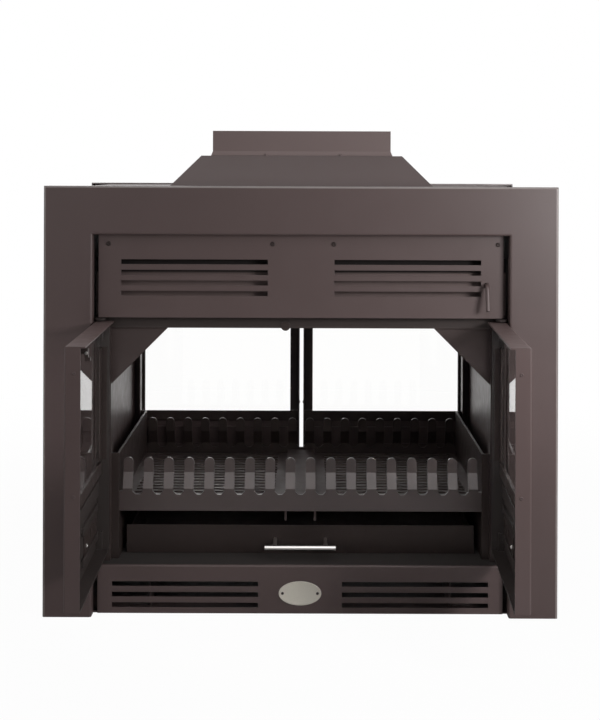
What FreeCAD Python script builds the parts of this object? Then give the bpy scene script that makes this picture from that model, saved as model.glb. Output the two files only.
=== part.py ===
import FreeCAD, Part
import math
import os

V = FreeCAD.Vector

# All sizes in mm. X across the front, Y from front to rear, Z up, origin on the floor under the middle.

# facias and casing
depth = 600.0
facia_w = 950.0
facia_h = 795.0
facia_band = 90.0
facia_return = 25.0
sheet = 3.0
fold_r = 4.0
casing_out = 45.0
panel_gap = 8.0

half_d = depth / 2
open_x = facia_w / 2 - facia_band
casing_x = open_x + casing_out
panel_x = open_x - panel_gap
panel_y = -half_d + facia_return
panel_back = panel_y + sheet

# lower grille, folded back as the hearth ledge
ledge_z = 90.0
ledge_split = 1.0
slot_h = 9.0
slot_pitch = 19.6
grille_rows = 3
grille_row_z = 15.4
grille_slot_in = 78.0
grille_slot_edge = 27.0
stand_in = 77.0
stand_w = 40.0
stand_set = 25.0

# upper vent panel
vent_z0 = 550.0
vent_lap = 7.0
vent_rows = 4
vent_row_z = 595.0
vent_slot_in = 62.0
vent_slot_edge = 42.0

# firebox
wall_in = 13.0
frame_set = 52.0
jamb_in = 15.0
frame_return = 28.0
head_z = 528.0
frame_top = 660.0
gusset_leg = 107.0
gusset_set = 5.0
wall_x = open_x - wall_in
frame_y = -half_d + frame_set
frame_back = frame_y + sheet
jamb_x = wall_x - jamb_in

# gather, hood and flue collar
gather_top = (254.0, 203.0)
hood_top = (196.0, 145.0)
hood_h = 61.0
hood_wall = 4.0
collar_w = 350.0
collar_d = 250.0
collar_h = 49.0
bead_w = 3.5
bead_h = 9.0

# damper
throat_z = 637.0
throat_side = 72.0
throat_d = 120.0
damper_drop = 2.0
damper_w_gap = 3.0
damper_lap = 14.0
damper_rest = 2.0
rail_w = 11.0
rail_h = 4.0
rail_set = 35.0
lug_t = 4.0
lug_w = 15.5
rod_r = 4.0
rod_clear = 0.8
rod_in = 32.0
rod_z = 612.0
rod_out = 8.0
rod_bend_r = 10.0
rod_bend = 75.0
rod_tail = 40.0
rod_x = panel_x - rod_in

# grate
cheek_in = 14.0
cheek_t = 4.0
cheek_set = 68.0
cheek_z1 = 289.0
comb_t = 5.0
comb_z0 = 179.0
comb_bend_low = 221.0
comb_bend_high = 249.0
comb_step = 15.0
comb_z1 = 277.0
finger_edge = 15.0
finger_pitch = 38.56
finger_w = 18.6
finger_slot_z = 210.0
finger_slot_clip = 6.0
floor_z = 197.0
floor_t = 8.0
floor_slot_w = 12.0
floor_slot_pitch = 25.0
floor_rim = 20.0
rest_w = 18.0
bearer_w = 60.0
bearer_rise = 8.0
bearer_h = 45.0
bearer_wall = 4.0
bearer_lip = 14.0
bearer_clear = 0.5
cheek_x = jamb_x - cheek_in
cheek_y = -half_d + cheek_set
comb_y = cheek_y + cheek_t
bed_y = comb_y + comb_t

# ash drawer
drawer_set = 106.0
drawer_front_t = 3.0
drawer_z1 = 144.0
drawer_lift = 0.5
drawer_side = 10.0
tray_side = 18.0
tray_t = 2.0
tray_gap = 14.0
runner_h = 2.0
runner_in = 63.0
runner_w = 20.0
runner_set = 9.0
bar_r = 4.5
bar_len = 133.0
bar_z = 116.5
bar_out = 59.5
post_r = 3.75
post_pitch = 96.0
ash_plate_t = 3.0
drawer_y = -half_d + drawer_set

# doors, drawn closed with the hinge axis as local origin
hinge_in = 11.5
hinge_set = 23.0
door_front = 9.0
door_edge = 6.5
door_gap = 8.5
door_z0 = 117.0
door_z1 = 543.0
door_d = 26.0
door_top_d = 34.0
door_r = 3.0
stile_hinge = 26.5
stile_free = 21.0
window_z0 = 272.0
top_rail = 24.0
rope_t = 3.0
rope_in = 0.8
glass_t = 4.0
glass_lap = 9.0
glass_lap_top = 6.0
hinge_block = 11.0
hinge_block_h = 32.0
pin_r = 3.0
pin_clear = 0.05
pin_reach = 26.0
retainer_t = 2.0
retainer_w = 12.0
retainer_set = 0.5
retainer_z0 = 286.0
retainer_z1 = 517.0
retainer_hinge_z1 = 495.0
liner_t = 2.5
liner_gap = 0.5
liner_rise = 10.0
stiffener_z = (219.0, 245.0)
stiffener_t = 4.0
slit_xs = (16.0, 53.0, 90.0)
slit_w = 6.0
slit_h = 15.0
slit_z = 173.5
slide_x0 = 7.5
slide_len = 158.5
slide_h = 46.0
slide_t = 2.0
slide_clear = 0.5
slide_face_gap = 0.2
slide_travel = 14.0
slide_rail_x0 = 6.25
slide_rail_len = 188.0
slide_rail_h = 10.0
slide_lip = 3.5
knob_x = 145.0
knob_z = 165.0
knob_r = 9.0
knob_h = 8.0
knob_gap = 1.0
neck_w = 7.0
neck_clear = 0.5
strike_r = 8.8
strike_t = 2.0
strike_z = 532.0
strike_gap = 0.5
keeper_free = 24.75
keeper_w = 10.0
keeper_z = (517.0, 528.5, 537.0)
keeper_plate = 6.0
keeper_toe = 3.5
lug_half = 10.0
lug_plate = 4.0
lug_clip = 5.0
lug_gap = 2.0
left_open_deg = 89.0
right_open_deg = 88.0
hinge_x = open_x - hinge_in
hinge_y = -half_d + hinge_set
door_free = hinge_x - door_gap / 2
door_in = door_d - door_front
pocket_y = sheet - door_front
glass_y = pocket_y + rope_t
glass_back = glass_y + glass_t
window_z1 = door_z1 - top_rail
window_x0 = stile_hinge - door_edge
window_x1 = door_free - stile_free
pocket_x0 = sheet - door_edge
pocket_x1 = door_free - sheet
keeper_x = door_free - keeper_free


def box(x0, x1, y0, y1, z0, z1):
    return Part.makeBox(x1 - x0, y1 - y0, z1 - z0, V(x0, y0, z0))


def rod(r, start, end):
    return Part.makeCylinder(r, (end - start).Length, start, end - start)


def prism(points, travel):
    return Part.Face(Part.makePolygon(points + points[:1])).extrude(travel)


def fused(first, *rest):
    return first.multiFuse(list(rest)).removeSplitter()


def mirrored(shape):
    return shape.mirror(V(0, 0, 0), V(1, 0, 0))


def turned(shape):
    copy = shape.copy()
    copy.rotate(V(0, 0, 0), V(0, 0, 1), 180)
    return copy


def pair(shape):
    return Part.makeCompound([shape, mirrored(shape)])


def slot(x0, x1, z, h, y0, y1):
    return box(x0, x1, y0, y1, z - h / 2, z + h / 2)


def frustum(low, z0, high, z1):
    def ring(size, z):
        x, y = size
        return [V(-x, -y, z), V(x, -y, z), V(x, y, z), V(-x, y, z)]

    a, b = ring(low, z0), ring(high, z1)
    sides = [[a[i], a[(i + 1) % 4], b[(i + 1) % 4], b[i]] for i in range(4)]
    faces = [Part.Face(Part.makePolygon(p + p[:1])) for p in [a, b] + sides]
    solid = Part.makeSolid(Part.makeShell(faces))
    return solid if solid.Volume > 0 else solid.reversed()


def front_edges(shape, y):
    edges = []
    for edge in shape.Edges:
        ends = [v.Point for v in edge.Vertexes]
        on_front = all(abs(p.y - y) < 1e-6 for p in ends)
        on_floor = all(abs(p.z) < 1e-6 for p in ends)
        if on_front and not on_floor:
            edges.append(edge)
    return edges


def facia():
    w, h, b, t = facia_w / 2, facia_h, facia_band, sheet
    y = -half_d
    outer = [(-w, 0), (-w, h), (w, h), (w, 0), (w - b, 0), (w - b, h - b), (b - w, h - b), (b - w, 0)]
    body = prism([V(x, y, z) for x, z in outer], V(0, facia_return, 0))
    body = body.makeFillet(fold_r, front_edges(body, y))
    leg = b - 2 * t
    hollow = fused(
        box(t - w, t - w + leg, y + t, 0, -t, h - t),
        box(w - t - leg, w - t, y + t, 0, -t, h - t),
        box(t - w, w - t, y + t, 0, h - b + t, h - t),
    )
    return body.cut(hollow)


def outer_casing():
    side_y = half_d - sheet
    base_y = -panel_back
    side = box(casing_x - sheet, casing_x, -side_y, side_y, 0, facia_h - 2 * sheet)
    base = box(sheet - casing_x, casing_x - sheet, -base_y, base_y, 0, sheet)
    return fused(side, mirrored(side), base)


def casing_top():
    y = half_d - sheet
    plate = box(-casing_x, casing_x, -y, y, facia_h - 2 * sheet, facia_h - sheet)
    x, d = gather_top
    return plate.cut(box(sheet - x, x - sheet, sheet - d, d - sheet, 0, facia_h))


def slot_rows(x0, x1, z0, rows):
    cuts = []
    for row in range(rows):
        z = z0 + row * slot_pitch
        cuts.append(slot(x0, x1, z, slot_h, panel_y, panel_back))
        cuts.append(slot(-x1, -x0, z, slot_h, panel_y, panel_back))
    return cuts


def vent_panel(with_rod):
    z1 = facia_h - facia_band + vent_lap
    plate = box(-panel_x, panel_x, panel_y, panel_back, vent_z0, z1)
    foot = box(-panel_x, panel_x, panel_back, frame_y, vent_z0, vent_z0 + sheet)
    cuts = slot_rows(vent_slot_in, panel_x - vent_slot_edge, vent_row_z, vent_rows)
    if with_rod:
        cuts.append(rod(rod_r + rod_clear, V(rod_x, panel_y, rod_z), V(rod_x, panel_back, rod_z)))
    return fused(plate, foot).cut(Part.makeCompound(cuts))


def grille():
    profile = [
        V(-panel_x, panel_y, 0),
        V(-panel_x, panel_back, 0),
        V(-panel_x, panel_back, ledge_z - sheet),
        V(-panel_x, -ledge_split, ledge_z - sheet),
        V(-panel_x, -ledge_split, ledge_z),
        V(-panel_x, panel_y, ledge_z),
    ]
    body = prism(profile, V(2 * panel_x, 0, 0))
    fold = [e for e in body.Edges if e.BoundBox.YMax < panel_y + 1e-6 and e.BoundBox.ZMin > ledge_z - 1e-6]
    body = body.makeFillet(fold_r, fold)
    slots = slot_rows(grille_slot_in, panel_x - grille_slot_edge, grille_row_z, grille_rows)
    return body.cut(Part.makeCompound(slots))


def hearth_stand():
    y = -panel_back - stand_set
    x1 = panel_x - stand_in + stand_w / 2
    x0 = x1 - stand_w
    outer = box(x0, x1, -y, y, sheet, ledge_z - sheet)
    return outer.cut(box(x0 + sheet, x1, -y, y, 2 * sheet, ledge_z - 2 * sheet))


def firebox_wall():
    return box(wall_x, wall_x + sheet, frame_back, -frame_back, ledge_z, frame_top)


def door_frame(with_rod):
    plate = box(-open_x, open_x, frame_y, frame_back, ledge_z, frame_top)
    plate = plate.cut(box(-jamb_x, jamb_x, frame_y, frame_back, ledge_z, head_z))
    y1 = frame_back + frame_return
    jamb = box(jamb_x, jamb_x + sheet, frame_back, y1, ledge_z, head_z + sheet)
    head = box(-jamb_x, jamb_x, frame_back, y1, head_z, head_z + sheet)
    body = fused(plate, jamb, mirrored(jamb), head)
    if with_rod:
        r = rod_r + rod_clear
        body = body.cut(box(rod_x - r, rod_x + r, frame_y, frame_back, rod_z - r, rod_z + r))
    return body


def gusset():
    y = frame_back + gusset_set
    points = [V(jamb_x, y, head_z), V(jamb_x - gusset_leg, y, head_z), V(jamb_x, y, head_z - gusset_leg)]
    return prism(points, V(0, sheet, 0))


def corner_gussets():
    one = gusset()
    four = [one, mirrored(one), turned(one), turned(mirrored(one))]
    return Part.makeCompound(four)


def smoke_gather():
    z1 = facia_h - 2 * sheet
    low = (wall_x + sheet, -frame_y)
    x, y = gather_top
    inner_low = (wall_x, -frame_back)
    return frustum(low, frame_top, gather_top, z1).cut(
        frustum(inner_low, frame_top, (x - sheet, y - sheet), z1)
    )


def hood():
    z0 = facia_h - sheet
    z1 = z0 + hood_h
    share = (hood_h - sheet) / hood_h
    inner_low = [a - hood_wall for a in gather_top]
    inner_high = [a + (b - a) * share - hood_wall for a, b in zip(gather_top, hood_top)]
    shell = frustum(gather_top, z0, hood_top, z1).cut(frustum(inner_low, z0, inner_high, z1 - sheet))
    return shell.cut(box(-collar_w / 2, collar_w / 2, -collar_d / 2, collar_d / 2, z0, z1 + sheet))


def flue_collar():
    z0 = facia_h - sheet + hood_h
    x, y = collar_w / 2, collar_d / 2
    tube = box(-x, x, -y, y, z0 - sheet, z0 + collar_h)
    bead = frustum((x + bead_w, y + bead_w), z0, (x, y), z0 + bead_h)
    inside = box(sheet - x, x - sheet, sheet - y, y - sheet, z0 - hood_h, z0 + 2 * collar_h)
    return fused(tube, bead).cut(inside)


def throat_plate():
    z = throat_z
    plate = box(-wall_x, wall_x, frame_back, -frame_back, z, z + sheet)
    x, y = wall_x - throat_side, throat_d / 2
    opening = box(-x, x, -y, y, z, z + sheet)
    rail_top = z - damper_drop - sheet
    rail_y = -frame_back - rail_set
    rail = box(wall_x - rail_w, wall_x, -rail_y, rail_y, rail_top - rail_h, rail_top)
    return Part.makeCompound([plate.cut(opening), rail, mirrored(rail)])


def damper_plate():
    z1 = throat_z - damper_drop
    z0 = z1 - sheet
    y0 = throat_d / 2 + damper_rest
    y1 = y0 + throat_d + 2 * damper_lap
    x = wall_x - damper_w_gap
    plate = box(-x, x, y0, y1, z0, z1)
    lug = box(rod_x - lug_w / 2, rod_x + lug_w / 2, y0, y0 + lug_t, rod_z - 2 * rod_r, z0)
    return fused(plate, lug)


def damper_rod():
    back = throat_d / 2 + damper_rest
    corner = V(rod_x, panel_y - rod_out, rod_z)
    centre = corner - V(0, 0, rod_bend_r)
    a = math.radians(rod_bend)
    end = centre + V(0, -math.sin(a), math.cos(a)) * rod_bend_r
    tip = end - V(0, math.cos(a), math.sin(a)) * rod_tail
    disc = Part.Face(Part.Wire(Part.Circle(corner, V(0, -1, 0), rod_r).toShape()))
    bend = disc.revolve(centre, V(1, 0, 0), rod_bend)
    return fused(rod(rod_r, V(rod_x, back, rod_z), corner), bend, rod(rod_r, end, tip))


def grate_cheek():
    y = -cheek_y
    plate = box(cheek_x, cheek_x + cheek_t, -y, y, ledge_z, cheek_z1)
    front = box(cheek_x, jamb_x, -y, cheek_t - y, ledge_z, cheek_z1)
    rest_z = floor_z - floor_t
    rest = box(cheek_x - rest_w, cheek_x, bed_y, -bed_y, rest_z - cheek_t, rest_z)
    return fused(plate, front, turned(mirrored(front)), rest)


def comb():
    rise = comb_bend_high - comb_bend_low
    run = math.hypot(comb_step, rise)
    drop = comb_t * (run - rise) / comb_step
    side = [
        (comb_y, comb_z0),
        (comb_y, comb_bend_low),
        (comb_y + comb_step, comb_bend_high),
        (comb_y + comb_step, comb_z1),
        (comb_y + comb_step + comb_t, comb_z1),
        (comb_y + comb_step + comb_t, comb_bend_high - drop),
        (comb_y + comb_t, comb_bend_low - drop),
        (comb_y + comb_t, comb_z0),
    ]
    bent = prism([V(-cheek_x, y, z) for y, z in side], V(2 * cheek_x, 0, 0))
    half = finger_w / 2
    z_slot = finger_slot_z + finger_slot_clip
    z_top = comb_z1 - half
    y = comb_y

    def line(x0, z0, x1, z1):
        return Part.LineSegment(V(x0, y, z0), V(x1, y, z1)).toShape()

    def arc(x0, z0, xm, zm, x1, z1):
        return Part.Arc(V(x0, y, z0), V(xm, y, zm), V(x1, y, z1)).toShape()

    finger_n = int(2 * (cheek_x - finger_edge) / finger_pitch) + 1
    edges = [line(-cheek_x, comb_z0, -cheek_x, z_slot)]
    x_last = -cheek_x
    for i in range(finger_n):
        c = (i - (finger_n - 1) / 2) * finger_pitch
        if i:
            low, high = x_last + finger_slot_clip, c - half - finger_slot_clip
            edges.append(line(x_last, z_slot, low, finger_slot_z))
            edges.append(line(low, finger_slot_z, high, finger_slot_z))
            edges.append(line(high, finger_slot_z, c - half, z_slot))
        else:
            edges.append(line(x_last, z_slot, c - half, z_slot))
        edges.append(line(c - half, z_slot, c - half, z_top))
        edges.append(arc(c - half, z_top, c, comb_z1, c + half, z_top))
        edges.append(line(c + half, z_top, c + half, z_slot))
        x_last = c + half
    edges.append(line(x_last, z_slot, cheek_x, z_slot))
    edges.append(line(cheek_x, z_slot, cheek_x, comb_z0))
    edges.append(line(cheek_x, comb_z0, -cheek_x, comb_z0))
    outline = Part.Face(Part.Wire(edges)).extrude(V(0, comb_step + comb_t, 0))
    return bent.common(outline)


def floor_grate():
    y = -bed_y
    x0, x1 = bearer_w / 2, cheek_x
    plate = box(x0, x1, -y, y, floor_z - floor_t, floor_z)
    cuts = []
    floor_slots = int(2 * (y - floor_rim) / floor_slot_pitch) + 1
    for i in range(floor_slots):
        c = (i - (floor_slots - 1) / 2) * floor_slot_pitch
        w = floor_slot_w / 2
        cuts.append(box(x0 + floor_rim, x1 - floor_rim, c - w, c + w, floor_z - floor_t, floor_z))
    return plate.cut(Part.makeCompound(cuts))


def centre_bearer():
    y = -bed_y
    x, t = bearer_w / 2, bearer_wall
    z1 = floor_z + bearer_rise
    body = box(-x, x, -y, y, z1 - bearer_h, z1)
    body = body.cut(box(t - x, x - t, -y, y, z1 - bearer_h, z1 - t))
    lip = box(x, x + bearer_lip, -y, y, floor_z - floor_t - t, floor_z - floor_t)
    return fused(body, lip, mirrored(lip))


def drawer_tray():
    x = cheek_x - tray_side
    y0 = drawer_y + drawer_front_t
    y1 = -drawer_y - tray_gap
    z0 = ledge_z + runner_h
    z1 = drawer_z1 - tray_t
    t = tray_t
    outer = box(-x, x, y0, y1, z0, z1)
    return outer.cut(box(t - x, x - t, y0 + t, y1 - t, z0 + t, z1))


def drawer_front():
    x = cheek_x - drawer_side
    return box(-x, x, drawer_y, drawer_y + drawer_front_t, ledge_z + drawer_lift, drawer_z1)


def drawer_handle():
    y = drawer_y - bar_out
    bar = rod(bar_r, V(-bar_len / 2, y, bar_z), V(bar_len / 2, y, bar_z))
    x = post_pitch / 2
    posts = [rod(post_r, V(s * x, drawer_y, bar_z), V(s * x, y, bar_z)) for s in (-1, 1)]
    return fused(bar, *posts)


def drawer_runner():
    x, y = cheek_x - runner_in, -drawer_y - runner_set
    return box(x, x + runner_w, -y, y, ledge_z, ledge_z + runner_h)


def rear_ash_plate():
    y0, y1 = -drawer_y, ash_plate_t - drawer_y
    x = bearer_w / 2 + bearer_clear
    z = floor_z + bearer_rise - bearer_h - bearer_clear
    return box(-cheek_x, cheek_x, y0, y1, ledge_z, comb_z0).cut(box(-x, x, y0, y1, z, comb_z0))


def slide_rail(z_edge, up):
    rail_z = z_edge + up * slide_clear
    far = rail_z + up * slide_rail_h
    near = z_edge - up * slide_lip
    y0 = pocket_y
    y1 = y0 + slide_t + 2 * slide_face_gap
    y2 = y1 + slide_t
    x0 = slide_rail_x0
    x1 = x0 + slide_rail_len
    base = box(x0, x1, y0, y1, min(rail_z, far), max(rail_z, far))
    lip = box(x0, x1, y1, y2, min(near, far), max(near, far))
    return fused(base, lip)


def door_tray():
    body = box(-door_edge, door_free, -door_front, door_in, door_z0, door_z1)
    rim = front_edges(body, -door_front)
    upright = [e for e in rim if e.BoundBox.XLength < door_r]
    level = [e for e in rim if e.BoundBox.ZLength < door_r]
    body = body.makeFillet(door_r, upright).common(body.makeFillet(door_r, level))
    z0, z1 = door_z0 + sheet, door_z1 - sheet
    body = body.cut(box(pocket_x0, pocket_x1, pocket_y, door_in, z0, z1))
    top = box(-door_edge, door_free, door_in, door_top_d - door_front, z1, door_z1)
    b = hinge_block / 2
    low_block = box(-b, b, -b, b, z0, z0 + hinge_block_h)
    top_block = box(-b, b, -b, b, z1 - hinge_block_h, z1)
    stiffener = box(pocket_x0, pocket_x1, pocket_y, pocket_y + stiffener_t, *stiffener_z)
    body = fused(body, top, low_block, top_block, stiffener)
    body = fused(body, slide_rail(slit_z + slide_h / 2, 1), slide_rail(slit_z - slide_h / 2, -1))
    cuts = [rod(pin_r + pin_clear, V(0, 0, door_z0), V(0, 0, door_z1))]
    cuts.append(box(window_x0, window_x1, -door_front, pocket_y, window_z0, window_z1))
    for x in slit_xs:
        cuts.append(slit(x, -door_front, pocket_y))
    cuts.append(knob_slot(-door_front, pocket_y))
    return body.cut(Part.makeCompound(cuts))


def slit(x, y0, y1):
    return box(x - slit_w / 2, x + slit_w / 2, y0, y1, slit_z - slit_h / 2, slit_z + slit_h / 2)


def knob_slot(y0, y1):
    h = neck_w + 2 * neck_clear
    return slot(knob_x - h / 2, knob_x + slide_travel + h / 2, knob_z, h, y0, y1)


def glass_box(y0, y1):
    x0, x1 = window_x0 - glass_lap, window_x1 + glass_lap
    return box(x0, x1, y0, y1, window_z0 - glass_lap, window_z1 + glass_lap_top)


def door_glass():
    return glass_box(glass_y, glass_back)


def door_rope():
    g = rope_in
    hole = box(window_x0 - g, window_x1 + g, pocket_y, glass_y, window_z0 - g, window_z1 + g)
    return glass_box(pocket_y, glass_y).cut(hole)


def door_retainers():
    y0 = glass_back
    t = retainer_t
    free = fused(
        box(pocket_x1 - t, pocket_x1, y0, y0 + retainer_w, retainer_z0, retainer_z1),
        box(window_x1 + retainer_set, pocket_x1, y0, y0 + t, retainer_z0, retainer_z1),
    )
    hinge = fused(
        box(pocket_x0, pocket_x0 + t, y0, y0 + retainer_w, retainer_z0, retainer_hinge_z1),
        box(pocket_x0, window_x0 - retainer_set, y0, y0 + t, retainer_z0, retainer_hinge_z1),
    )
    return Part.makeCompound([free, hinge])


def door_liner():
    z1 = window_z0 - glass_lap - liner_gap
    z0 = z1 - liner_t
    foot = box(pocket_x0, pocket_x1, pocket_y, glass_back, z0, z1)
    apron = box(pocket_x0, pocket_x1, glass_back, glass_back + liner_t, z0, window_z0 + liner_rise)
    return fused(foot, apron)


def air_slide():
    y0 = pocket_y + slide_face_gap
    y1 = y0 + slide_t
    z0, z1 = slit_z - slide_h / 2, slit_z + slide_h / 2
    plate = box(slide_x0, slide_x0 + slide_len, y0, y1, z0, z1)
    plate = plate.cut(Part.makeCompound([slit(x, y0, y1) for x in slit_xs]))
    face = -door_front - knob_gap
    w = neck_w / 2
    neck = box(knob_x - w, knob_x + w, face, y0, knob_z - w, knob_z + w)
    knob = rod(knob_r, V(knob_x, face - knob_h, knob_z), V(knob_x, face, knob_z))
    return fused(plate, neck, knob)


def door_keeper():
    low, arm, high = keeper_z
    toe_z = strike_z - strike_r - strike_gap
    tip = frame_set - hinge_set - strike_t - strike_gap
    back = tip - keeper_plate
    side = [
        (pocket_y, arm),
        (back, arm),
        (back, low),
        (tip + keeper_toe, low),
        (tip + keeper_toe, toe_z),
        (tip, toe_z),
        (tip, high),
        (pocket_y, high),
    ]
    x = keeper_x - keeper_w / 2
    return prism([V(x, y, z) for y, z in side], V(keeper_w, 0, 0))


def door_strike():
    p = V(keeper_x - hinge_x, frame_y, strike_z)
    return rod(strike_r, p, p - V(0, strike_t, 0))


def hinge_lug(z_pin, gap, up):
    x, y = -hinge_x, hinge_y
    z0 = z_pin + up * gap
    z1 = z0 + up * lug_plate
    w, c, y0 = lug_half, lug_clip, hinge_y - lug_half
    outline = [(-w, frame_y), (-w, y0 + c), (c - w, y0), (w - c, y0), (w, y0 + c), (w, frame_y)]
    plate = prism([V(x + a, b, z0) for a, b in outline], V(0, 0, z1 - z0))
    pin = rod(pin_r, V(x, y, z0), V(x, y, z_pin - up * pin_reach))
    return fused(plate, pin)


def door_hinges():
    left = [hinge_lug(door_z1, lug_gap, 1), hinge_lug(door_z0, 0, -1)]
    front = left + [mirrored(s) for s in left]
    return Part.makeCompound(front + [turned(s) for s in front])


def hung_left(shape, open_deg):
    copy = shape.copy()
    copy.rotate(V(0, 0, 0), V(0, 0, 1), -open_deg)
    copy.translate(V(-hinge_x, hinge_y, 0))
    return copy


os.makedirs("parts", exist_ok=True)

front_grille = grille()
front_comb = comb()
front_facia = facia()
strike = door_strike()
wall = firebox_wall()
nodes = {
    "front_facia": front_facia,
    "rear_facia": turned(front_facia),
    "outer_casing": outer_casing(),
    "casing_top": casing_top(),
    "front_vent_panel": vent_panel(True),
    "rear_vent_panel": turned(vent_panel(False)),
    "front_grille": front_grille,
    "rear_grille": turned(front_grille),
    "hearth_stands": pair(hearth_stand()),
    "firebox_right": wall,
    "firebox_left": mirrored(wall),
    "front_door_frame": door_frame(True),
    "rear_door_frame": turned(door_frame(False)),
    "corner_gussets": corner_gussets(),
    "smoke_gather": smoke_gather(),
    "hood": hood(),
    "flue_collar": flue_collar(),
    "throat_plate": throat_plate(),
    "damper_plate": damper_plate(),
    "damper_rod": damper_rod(),
    "grate_cheeks": pair(grate_cheek()),
    "front_comb": front_comb,
    "rear_comb": turned(front_comb),
    "floor_grates": pair(floor_grate()),
    "centre_bearer": centre_bearer(),
    "drawer_tray": drawer_tray(),
    "drawer_front": drawer_front(),
    "drawer_handle": drawer_handle(),
    "drawer_runners": pair(drawer_runner()),
    "rear_ash_plate": rear_ash_plate(),
    "door_hinges": door_hinges(),
    "door_strikes": Part.makeCompound([strike, turned(strike)]),
}

door_pieces = {
    "tray": door_tray(),
    "glass": door_glass(),
    "rope": door_rope(),
    "retainers": door_retainers(),
    "liner": door_liner(),
    "air_slide": air_slide(),
}
for piece, shape in door_pieces.items():
    nodes["front_left_" + piece] = hung_left(shape, left_open_deg)
    nodes["front_right_" + piece] = mirrored(hung_left(shape, right_open_deg))
    nodes["rear_right_" + piece] = turned(hung_left(shape, 0))
    nodes["rear_left_" + piece] = turned(mirrored(hung_left(shape, 0)))
nodes["front_left_keeper"] = hung_left(door_keeper(), left_open_deg)
nodes["rear_right_keeper"] = turned(hung_left(door_keeper(), 0))

for name, shape in nodes.items():
    shape.exportStep("parts/" + name + ".step")
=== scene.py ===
import math

import bmesh
import bpy
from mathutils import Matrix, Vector


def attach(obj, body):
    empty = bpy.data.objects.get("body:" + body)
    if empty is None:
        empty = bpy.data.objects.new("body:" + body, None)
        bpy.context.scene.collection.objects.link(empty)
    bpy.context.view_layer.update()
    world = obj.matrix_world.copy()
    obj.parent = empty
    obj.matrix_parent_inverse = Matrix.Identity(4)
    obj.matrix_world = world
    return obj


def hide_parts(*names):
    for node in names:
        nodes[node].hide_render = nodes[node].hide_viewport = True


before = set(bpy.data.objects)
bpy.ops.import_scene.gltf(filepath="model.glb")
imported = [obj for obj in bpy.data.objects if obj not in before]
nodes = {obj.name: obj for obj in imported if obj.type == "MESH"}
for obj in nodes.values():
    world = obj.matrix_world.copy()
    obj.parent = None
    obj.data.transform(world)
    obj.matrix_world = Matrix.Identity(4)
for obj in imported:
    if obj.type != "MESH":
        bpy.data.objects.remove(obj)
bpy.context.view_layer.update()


# a quarter turn
quarter = math.pi / 2


def begin():
    bpy.ops.object.select_all(action="DESELECT")


# camera: level, a little above the facia, with its view shifted down
eye = {"place": (0.008, -2.856, 0.827), "lens": 69.35, "shift": (-0.0080, -0.2650), "rollDeg": -0.20}


def addCamera():
    begin()
    bpy.ops.object.camera_add(location=eye["place"])
    cam = bpy.context.object
    cam.name = "photoEye"
    cam.rotation_euler = (quarter, math.radians(eye["rollDeg"]), 0)
    cam.data.lens = eye["lens"]
    cam.data.shift_x, cam.data.shift_y = eye["shift"]
    bpy.context.scene.camera = cam


addCamera()
bpy.context.scene.view_settings.view_transform = "Standard"
print("camera set")


# node helpers: a value is a number, a colour or another node's output
def put(tree, kind, x, y, **values):
    node = tree.nodes.new(kind)
    node.location = (x, y)
    for name, value in values.items():
        if hasattr(node, name):
            setattr(node, name, value)
        else:
            node.inputs[name.replace("_", " ")].default_value = value
    return node


def feed(tree, socket, value):
    if isinstance(value, (int, float, tuple)):
        socket.default_value = value
    else:
        tree.links.new(value, socket)


def wire(tree, source, outName, target, inName):
    tree.links.new(source.outputs[outName], target.inputs[inName])


def mathNode(tree, operation, x, y, *values):
    node = put(tree, "ShaderNodeMath", x, y, operation=operation)
    for socket, value in zip(node.inputs, values):
        feed(tree, socket, value)
    return node.outputs["Value"]


def vectorNode(tree, operation, x, y, *values):
    node = put(tree, "ShaderNodeVectorMath", x, y, operation=operation)
    for socket, value in zip(node.inputs, values):
        feed(tree, socket, value)
    return node.outputs["Value" if operation in ("DOT_PRODUCT", "LENGTH") else "Vector"]


# where a Mix node keeps its factor and its two colours, and the mixed colour
mixPlaces = {"in": (0, 6, 7), "out": 2}


def mixColor(tree, x, y, factor, first, second, blend="MIX"):
    node = put(tree, "ShaderNodeMix", x, y, data_type="RGBA", blend_type=blend)
    for i, value in zip(mixPlaces["in"], (factor, first, second)):
        feed(tree, node.inputs[i], value)
    return node.outputs[mixPlaces["out"]]


def choose(tree, x, y, factor, first, second):
    node = put(tree, "ShaderNodeMix", x, y, data_type="FLOAT")
    for name, value in (("Factor", factor), ("A", first), ("B", second)):
        feed(tree, node.inputs[name], value)
    return node.outputs["Result"]


def ramp(tree, x, y, source, fromRange, toRange=(0.0, 1.0), curve="LINEAR"):
    node = put(tree, "ShaderNodeMapRange", x, y, interpolation_type=curve)
    names = ("Value", "From Min", "From Max", "To Min", "To Max")
    for name, value in zip(names, (source, *fromRange, *toRange)):
        feed(tree, node.inputs[name], value)
    return node.outputs["Result"]


def objectCoord(tree, x, y):
    return put(tree, "ShaderNodeTexCoord", x, y).outputs["Object"]


def noise(tree, x, y, coord, **values):
    node = put(tree, "ShaderNodeTexNoise", x, y, **values)
    tree.links.new(coord, node.inputs["Vector"])
    return node


def seenByEye(tree, path, x, y):
    rays = (path.outputs["Is Camera Ray"], path.outputs["Is Transmission Ray"])
    return mathNode(tree, "MAXIMUM", x, y, *rays)


def newMaterial(name):
    mat = bpy.data.materials.new(name)
    mat.use_nodes = True
    return mat, mat.node_tree, mat.node_tree.nodes["Principled BSDF"]


def newGroup(name, inputs, outputs):
    tree = bpy.data.node_groups.new(name, "ShaderNodeTree")
    for label, kind, value in inputs:
        socket = tree.interface.new_socket(label, in_out="INPUT", socket_type=kind)
        socket.default_value = value
    for label, kind in outputs:
        tree.interface.new_socket(label, in_out="OUTPUT", socket_type=kind)
    start = put(tree, "NodeGroupInput", -900, 0)
    end = put(tree, "NodeGroupOutput", 700, 0)
    return tree, start, end


def useGroup(tree, group, x, y, **values):
    return put(tree, "ShaderNodeGroup", x, y, node_tree=group, **values)


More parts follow.
